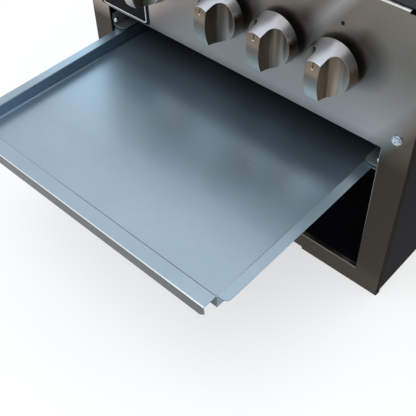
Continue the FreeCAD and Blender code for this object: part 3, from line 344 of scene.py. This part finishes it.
# Painted highlights along the flange fold and the front fold.
FLANGE_FOLD_RISE = (0.2, 0.5)
FLANGE_FOLD_HIGHLIGHT = (0.80, 0.87, 0.92)
FRONT_FOLD_LOOK = (-0.15, -0.4)
FRONT_FOLD_PLACE = (-0.30, -0.31)
FRONT_FOLD_HIGHLIGHT = (0.84, 0.90, 0.93)
# Painted dark reflection on faces that look forward.
FRONT_FACE_DARK_REFLECTION = Tint(-0.8, -0.95, (0.08, 0.09, 0.09))


def galvanised():
    """Soft cloudy patches and a faint mottle; a band of painted reflection across the floor, painted
    highlights on the flange and front folds, painted shade on the walls and a painted dark reflection on
    faces that look forward.
    """
    material, tree, shader = surface("galvanised", Metallic=0.92)
    spot = place(tree)
    cloud = noise(tree, spot, 11.0, 3.0)
    mottle = noise(tree, spot, 120.0, 3.0)
    look = facing(tree)
    depth = axes(tree, spot)["Y"]
    slope = calculate(tree, "ABSOLUTE", look["Z"])
    # Painted reflection: a blue band across the middle of the tray.
    reflection_band = both(tree, rising(tree, depth, *BAND_FRONT), rising(tree, depth, *BAND_REAR))
    flange_fold = both(tree, rising(tree, look["X"], *FACES_LEFT), rising(tree, look["Z"], *FLANGE_FOLD_RISE))
    front_fold = both(tree, rising(tree, look["Y"], *FRONT_FOLD_LOOK), rising(tree, depth, *FRONT_FOLD_PLACE))
    colour = blend(tree, spread(tree, cloud, 0.0, 1.0, WHOLE_RANGE), *ZINC_CLOUD)
    colour = blend(tree, spread(tree, mottle, 0.0, 0.25, WHOLE_RANGE), colour, ZINC_MOTTLE)
    colour = blend(tree, reflection_band, colour, BAND_REFLECTION)
    # Painted shade on the upright walls and on the left wall.
    colour = tinted(tree, colour, slope, UPRIGHT_WALL_SHADE)
    colour = tinted(tree, colour, look["X"], LEFT_WALL_SHADE)
    # Painted highlights on the flange fold and the front fold.
    colour = blend(tree, flange_fold, colour, FLANGE_FOLD_HIGHLIGHT)
    colour = blend(tree, front_fold, colour, FRONT_FOLD_HIGHLIGHT)
    # Painted dark reflection on faces that look forward.
    colour = tinted(tree, colour, look["Y"], FRONT_FACE_DARK_REFLECTION)
    set_inputs(shader, {
        "Base Color": colour,
        "Roughness": spread(tree, cloud, 0.22, 0.38, WHOLE_RANGE),
    })
    return material


# Satin nickel knobs

NICKEL = (0.47, 0.41, 0.35)
# Painted reflection and shade: browner high up, darker where it faces right, paler where it faces up.
NICKEL_HIGH_REFLECTION = Tint(0.255, 0.285, (0.115, 0.085, 0.05))
NICKEL_SIDE_SHADE = Tint(0.15, 0.85, (0.09, 0.073, 0.05))
NICKEL_TOP_REFLECTION = Tint(0.25, 0.8, (0.57, 0.59, 0.64))
RING_STRETCH = (12, 800, 12)
RING_STRENGTH = 0.05
RING_COLOUR = (0.9, 0.88, 0.84)


def satin_nickel():
    """Faint turned marks; painted reflection makes it browner high up and paler where it faces up, and
    painted shade makes it darker where it faces right.
    """
    material, tree, shader = surface("satin_nickel", Metallic=1.0)
    rings = noise(tree, place(tree, RING_STRETCH), 1.0, 2.0)
    height = axes(tree, place(tree))["Z"]
    look = facing(tree)
    # Painted reflection and shade: browner high up, darker facing right, paler facing up.
    colour = tinted(tree, NICKEL, height, NICKEL_HIGH_REFLECTION)
    colour = tinted(tree, colour, look["X"], NICKEL_SIDE_SHADE)
    colour = tinted(tree, colour, look["Z"], NICKEL_TOP_REFLECTION)
    colour = blend(tree, spread(tree, rings, 0.0, RING_STRENGTH), colour, RING_COLOUR)
    set_inputs(shader, {
        "Base Color": colour,
        "Roughness": spread(tree, rings, 0.28, 0.29),
    })
    return material


# Other materials

RIVET_LINES = ((0.70, 0.72, 0.72), (0.80, 0.82, 0.82))
# Painted shade: rivets low down, under the tray, are dark.
RIVET_LOW_SHADE = Tint(0.172, 0.166, (0.03, 0.03, 0.03))
BURNER_GRAIN = (900, 40, 900)
EVEN_MARKS = (60, 60, 60)


def two_tone(tree, texture, dark, light):
    """A colour that varies from dark to light with a texture."""
    return blend(tree, spread(tree, texture, 0.0, 1.0), dark, light)


def dark_paint():
    """Sprayed paint with a fine peel."""
    material, tree, shader = surface("dark_paint", Roughness=0.55, Specular_IOR_Level=0.02)
    peel = noise(tree, place(tree), 900.0, 2.0)
    cloud = noise(tree, place(tree), 12.0)
    set_inputs(shader, {
        "Base Color": two_tone(tree, cloud, (0.006, 0.006, 0.0075), (0.010, 0.010, 0.012)),
        "Normal": bumped(tree, peel, 0.08, 0.0003),
    })
    return material


def black_enamel():
    """Fired enamel with small specks."""
    material, tree, shader = surface("black_enamel", Coat_Weight=0.05, Coat_Roughness=0.2,
                                     Specular_IOR_Level=0.1)
    speck = noise(tree, place(tree), 600.0, 3.0)
    set_inputs(shader, {
        "Base Color": two_tone(tree, speck, (0.008, 0.008, 0.009), (0.02, 0.02, 0.021)),
        "Roughness": spread(tree, speck, 0.25, 0.4),
        "Normal": bumped(tree, speck, 0.05, 0.0003),
    })
    return material


def cast_iron():
    """Sand-cast skin, coarse and dull."""
    material, tree, shader = surface("cast_iron", Metallic=0.3)
    grain = noise(tree, place(tree), 420.0, 5.0, 0.65)
    set_inputs(shader, {
        "Base Color": two_tone(tree, grain, (0.012, 0.012, 0.012), (0.045, 0.043, 0.041)),
        "Roughness": spread(tree, grain, 0.5, 0.75),
        "Normal": bumped(tree, grain, 0.35, 0.0006),
    })
    return material


def rivet_zinc():
    """Bright domes over the keepers; painted shade makes the ones low down, under the tray, dark."""
    material, tree, shader = surface("rivet_zinc", Metallic=1.0, Roughness=0.25)
    marks = noise(tree, place(tree), 60.0)
    # Painted shade darkens the rivets under the tray.
    colour = tinted(tree, two_tone(tree, marks, *RIVET_LINES), axes(tree, place(tree))["Z"], RIVET_LOW_SHADE)
    set_inputs(shader, {"Base Color": colour})
    return material


def burner_steel():
    """Stainless with straw and blue heat tint in soft patches."""
    material, tree, shader = surface("burner_steel", Metallic=1.0)
    cloud = noise(tree, place(tree), 26.0, 3.0)
    grain = noise(tree, place(tree, BURNER_GRAIN), 1.0)
    set_inputs(shader, {
        "Base Color": two_tone(tree, cloud, (0.42, 0.36, 0.29), (0.30, 0.31, 0.36)),
        "Roughness": spread(tree, grain, 0.32, 0.5),
        "Normal": bumped(tree, grain, 0.05, 0.0003),
    })
    return material


def plain_metal(name, dark, light, roughness, stretch=(300, 300, 300), metallic=1.0):
    """A machined, drawn or plated metal whose colour and gloss vary along its tool marks."""
    material, tree, shader = surface(name, Metallic=metallic)
    marks = noise(tree, place(tree, stretch), 1.0, 3.0)
    set_inputs(shader, {
        "Base Color": two_tone(tree, marks, dark, light),
        "Roughness": spread(tree, marks, *roughness),
        "Normal": bumped(tree, marks, 0.05, 0.0003),
    })
    return material


def moulded(name, dark, light, roughness, specular=0.5):
    """A moulded, glazed, printed or rubber surface with a fine grain."""
    material, tree, shader = surface(name, Specular_IOR_Level=specular)
    grain = noise(tree, place(tree), 800.0, 3.0)
    set_inputs(shader, {
        "Base Color": two_tone(tree, grain, dark, light),
        "Roughness": spread(tree, grain, *roughness),
        "Normal": bumped(tree, grain, 0.1, 0.0002),
    })
    return material


def make_materials():
    """Every look by name: the record's material slots, and a few that only this scene uses."""
    return {
        "stainless": stainless(),
        "dark_paint": dark_paint(),
        "galvanised": galvanised(),
        "zinc_plate": plain_metal("zinc_plate", (0.52, 0.57, 0.62), (0.60, 0.65, 0.70), (0.24, 0.30),
                                  EVEN_MARKS),
        "black_enamel": black_enamel(),
        "cast_iron": cast_iron(),
        "satin_nickel": satin_nickel(),
        "brass": plain_metal("brass", (0.60, 0.42, 0.16), (0.74, 0.56, 0.26), (0.22, 0.36)),
        "aluminium": plain_metal("aluminium", (0.62, 0.63, 0.64), (0.76, 0.77, 0.78), (0.28, 0.42)),
        "burner_steel": burner_steel(),
        "black_plastic": moulded("black_plastic", (0.015, 0.015, 0.016), (0.03, 0.03, 0.03), (0.4, 0.55)),
        "ceramic": moulded("ceramic", (0.74, 0.71, 0.65), (0.84, 0.82, 0.77), (0.15, 0.3)),
        "lead_rubber": moulded("lead_rubber", (0.20, 0.03, 0.02), (0.28, 0.06, 0.045), (0.45, 0.6)),
        "guide_steel": plain_metal("guide_steel", (0.15, 0.18, 0.18), (0.21, 0.24, 0.24), (0.35, 0.45),
                                   EVEN_MARKS, metallic=0.5),
        "rivet_zinc": rivet_zinc(),
        "plate": moulded("plate", (0.006, 0.006, 0.007), (0.012, 0.012, 0.013), (0.5, 0.6), 0.05),
        "black_print": moulded("black_print", (0.008, 0.008, 0.008), (0.016, 0.016, 0.016), (0.4, 0.5), 0.05),
        "white_print": moulded("white_print", (0.66, 0.67, 0.68), (0.76, 0.77, 0.78), (0.35, 0.45)),
    }


# Nodes with a look of their own, and not that of their material slot
NODE_LOOKS = {
    "tray_keeper_left": "guide_steel",
    "tray_keeper_right": "guide_steel",
    "tray_runner_left": "guide_steel",
    "tray_runner_right": "guide_steel",
    "guide_rivets": "rivet_zinc",
}


def dress_nodes(materials):
    """Give every node its material."""
    for row in frame["record"]["subparts"]:
        mesh = nodes[row["node"]].data
        mesh.materials.clear()
        mesh.materials.append(materials[NODE_LOOKS.get(row["node"], row["material_slot"])])


# Marks on the front. A pointer mark has a top and a bottom, counted up from the knob's middle, and a width.

PLATE_LOW = Vector((-0.192, FRONT, 0.2006))
PLATE_HIGH = Vector((-0.1136, FRONT, 0.236))
PLATE_CORNER = 0.004
PLATE_THICKNESS = 0.0005
BORDER_INSET = Vector((0.0042, 0, 0.0010))
BORDER_WIDTH = 0.0013
PRINT_THICKNESS = 0.0001
DOTTED_KNOBS = {1: "knob_1", 2: "knob_2", 3: "knob_3"}
DOT_RADIUS = 0.0019
DOT_OFFSET = Vector((0.0007, 0, 0.0385))
POINTER_LINE = (0.0188, 0.0142, 0.0008)
POINTER_DASH = (0.0136, 0.0128, 0.0018)
CORNER_STEPS = 6
DOT_STEPS = 20
STRIP_STEPS = 6


def rounded_outline(low, high, corner):
    """Points (x, z) round a rectangle with quarter-round corners, counter-clockwise seen from the front."""
    points = []
    for turn, x, z in ((2, low.x, low.z), (3, high.x, low.z), (0, high.x, high.z), (1, low.x, high.z)):
        centre_x = x + corner if x == low.x else x - corner
        centre_z = z + corner if z == low.z else z - corner
        for step in range(CORNER_STEPS + 1):
            angle = math.pi / 2 * (turn + step / CORNER_STEPS)
            points.append((centre_x + corner * math.cos(angle), centre_z + corner * math.sin(angle)))
    return points


def new_piece(name, vertices, faces, material, body, slot):
    """A piece of the scene that rides on a body."""
    mesh = bpy.data.meshes.new(name)
    mesh.from_pydata(vertices, [], faces)
    mesh.materials.append(material)
    piece = bpy.data.objects.new(name, mesh)
    bpy.context.scene.collection.objects.link(piece)
    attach(piece, body)


def slab(points, back, thickness):
    """Vertices and faces of a flat plate: front, back and edge."""
    count = len(points)
    vertices = [(x, back - thickness, z) for x, z in points] + [(x, back, z) for x, z in points]
    faces = [tuple(range(count)), tuple(reversed(range(count, 2 * count)))]
    faces += [(k, k + count, (k + 1) % count + count, (k + 1) % count) for k in range(count)]
    return vertices, faces


def ring(outer, inner, back, thickness):
    """Vertices and faces of a flat ring between two outlines with the same number of points."""
    count = len(outer)
    vertices = []
    for depth in (back - thickness, back):
        vertices += [(x, depth, z) for x, z in outer] + [(x, depth, z) for x, z in inner]
    faces = []
    for k in range(count):
        n = (k + 1) % count
        faces.append((k, n, n + count, k + count))
        faces.append((k + 2 * count, k + 3 * count, n + 3 * count, n + 2 * count))
        faces.append((k, k + 2 * count, n + 2 * count, n))
        faces.append((k + count, n + count, n + 3 * count, k + 3 * count))
    return vertices, faces


def make_plate(materials):
    """A dark plate on the panel with a light border."""
    points = rounded_outline(PLATE_LOW, PLATE_HIGH, PLATE_CORNER)
    new_piece("name_plate", *slab(points, FRONT, PLATE_THICKNESS),
              materials["plate"], "cabinet", "black_enamel")
    low, high = PLATE_LOW + BORDER_INSET, PLATE_HIGH - BORDER_INSET
    step = Vector((BORDER_WIDTH, 0, BORDER_WIDTH))
    outer = rounded_outline(low, high, PLATE_CORNER)
    inner = rounded_outline(low + step, high - step, PLATE_CORNER - BORDER_WIDTH)
    new_piece("plate_border", *ring(outer, inner, FRONT - PLATE_THICKNESS, PRINT_THICKNESS),
              materials["white_print"], "cabinet", "ceramic")


def make_dots(materials):
    """A printed dot on the panel above each gas knob."""
    for index, name in DOTTED_KNOBS.items():
        dot = panel_point(name) + DOT_OFFSET
        angles = [2 * math.pi * step / DOT_STEPS for step in range(DOT_STEPS)]
        points = [(dot.x + DOT_RADIUS * math.cos(a), dot.z + DOT_RADIUS * math.sin(a)) for a in angles]
        new_piece(f"off_dot_{index}", *slab(points, FRONT, PRINT_THICKNESS),
                  materials["black_print"], "cabinet", "black_plastic")


def surface_front(shape, x, z):
    """The point of a knob's front at x, z."""
    return shape.ray_cast(Vector((x, FRONT - 1, z)), Vector((0, 1, 0)))[0]


def make_pointers(materials):
    """A short dark line and a light dash on the crown of each grip, near its upper end."""
    for name, body in KNOB_BODIES.items():
        mesh = nodes[name].data
        shape = BVHTree.FromPolygons([v.co for v in mesh.vertices], [p.vertices for p in mesh.polygons])
        centre = middle(name)
        for label, (top, bottom, width), look, slot in (
                ("line", POINTER_LINE, "black_print", "black_plastic"),
                ("dash", POINTER_DASH, "white_print", "ceramic")):
            vertices = []
            for step in range(STRIP_STEPS + 1):
                z = centre.z + top + (bottom - top) * step / STRIP_STEPS
                for x in (centre.x - width / 2, centre.x + width / 2):
                    vertices.append(surface_front(shape, x, z) - Vector((0, PRINT_THICKNESS, 0)))
            faces = [(2 * k, 2 * k + 2, 2 * k + 3, 2 * k + 1) for k in range(STRIP_STEPS)]
            new_piece(f"{name}_{label}", vertices, faces, materials[look], body, slot)


# Stage: pale floor, a sky that is brighter behind the object, and one large soft light above it

FLOOR_SIZE = 30.0
FLOOR_COLOUR = (0.96, 0.96, 0.96, 1)
FLOOR_WHITE_SHARE = 0.6
KEY_DIRECTION = Vector((0.10, -0.40, 0.91)).normalized()
KEY_DISTANCE = 3.0
KEY_SIZE = 2.6
KEY_POWER = 50.0
SKY_LEFT = (0.58, 0.70, 0.79)
SKY_RIGHT = Tint(-0.1, 0.35, (0.11, 0.09, 0.065))
SKY_BESIDE = Tint(-0.5, 0.1, (0.80, 0.83, 0.87))
SKY_BEHIND = Tint(0.1, 0.5, (1.10, 1.16, 1.22))
HORIZON = (0.9, 0.9, 0.9)
HORIZON_RISE = (0.04, 0.25)
HORIZON_LEAN = (0.5, 0.0, 1.0)
HORIZON_LEAN_RISE = (0.15, 0.45)


def make_floor():
    """A floor that is partly plain white where the camera or a reflection sees it, and keeps the shadow."""
    mesh = bpy.data.meshes.new("floor")
    half = FLOOR_SIZE / 2
    corners = [(-half, -half, 0), (half, -half, 0), (half, half, 0), (-half, half, 0)]
    mesh.from_pydata(corners, [], [(0, 1, 2, 3)])
    floor = bpy.data.objects.new("floor", mesh)
    bpy.context.scene.collection.objects.link(floor)
    material, tree, shader = surface("floor", Base_Color=FLOOR_COLOUR, Roughness=0.9, Specular_IOR_Level=0.1)
    rays = add(tree, "ShaderNodeLightPath").outputs
    seen = calculate(tree, "ADD", rays["Is Camera Ray"], rays["Is Glossy Ray"])
    seen = calculate(tree, "ADD", seen, rays["Is Transmission Ray"])
    white = add(tree, "ShaderNodeEmission", {"Color": (1, 1, 1, 1), "Strength": 1.0})
    share = spread(tree, seen, 0.0, FLOOR_WHITE_SHARE, WHOLE_RANGE)
    mix = add(tree, "ShaderNodeMixShader", {0: share, 1: shader.outputs[0], 2: white.outputs[0]})
    set_inputs(tree.nodes["Material Output"], {"Surface": mix.outputs[0]})
    mesh.materials.append(material)


def make_lights():
    data = bpy.data.lights.new("key", "AREA")
    data.size = KEY_SIZE
    data.energy = KEY_POWER
    key = bpy.data.objects.new("key", data)
    centre = (cad_box[0] + cad_box[1]) / 2
    key.location = centre + KEY_DIRECTION * KEY_DISTANCE
    key.rotation_mode = "QUATERNION"
    key.rotation_quaternion = KEY_DIRECTION.to_track_quat("Z", "Y")
    bpy.context.scene.collection.objects.link(key)


def make_world():
    """A sky that is cool at the front left, dim at the front right and bright behind, over a pale horizon."""
    world = bpy.data.worlds.new("world")
    bpy.context.scene.world = world
    world.use_nodes = True
    tree = world.node_tree
    direction = add(tree, "ShaderNodeTexCoord").outputs["Generated"]
    way = axes(tree, direction)
    sky = tinted(tree, SKY_LEFT, way["X"], SKY_RIGHT)
    sky = tinted(tree, sky, way["Y"], SKY_BESIDE)
    sky = tinted(tree, sky, way["Y"], SKY_BEHIND)
    leaning = measure(tree, "DOT_PRODUCT", direction, HORIZON_LEAN)
    above = both(tree, rising(tree, way["Z"], *HORIZON_RISE), rising(tree, leaning, *HORIZON_LEAN_RISE))
    set_inputs(tree.nodes["Background"], {"Color": blend(tree, above, HORIZON, sky), "Strength": 1.0})


make_camera()
materials = make_materials()
dress_nodes(materials)
make_plate(materials)
make_dots(materials)
make_pointers(materials)
make_floor()
make_lights()
make_world()

scene = bpy.context.scene
scene.view_settings.view_transform = "Standard"
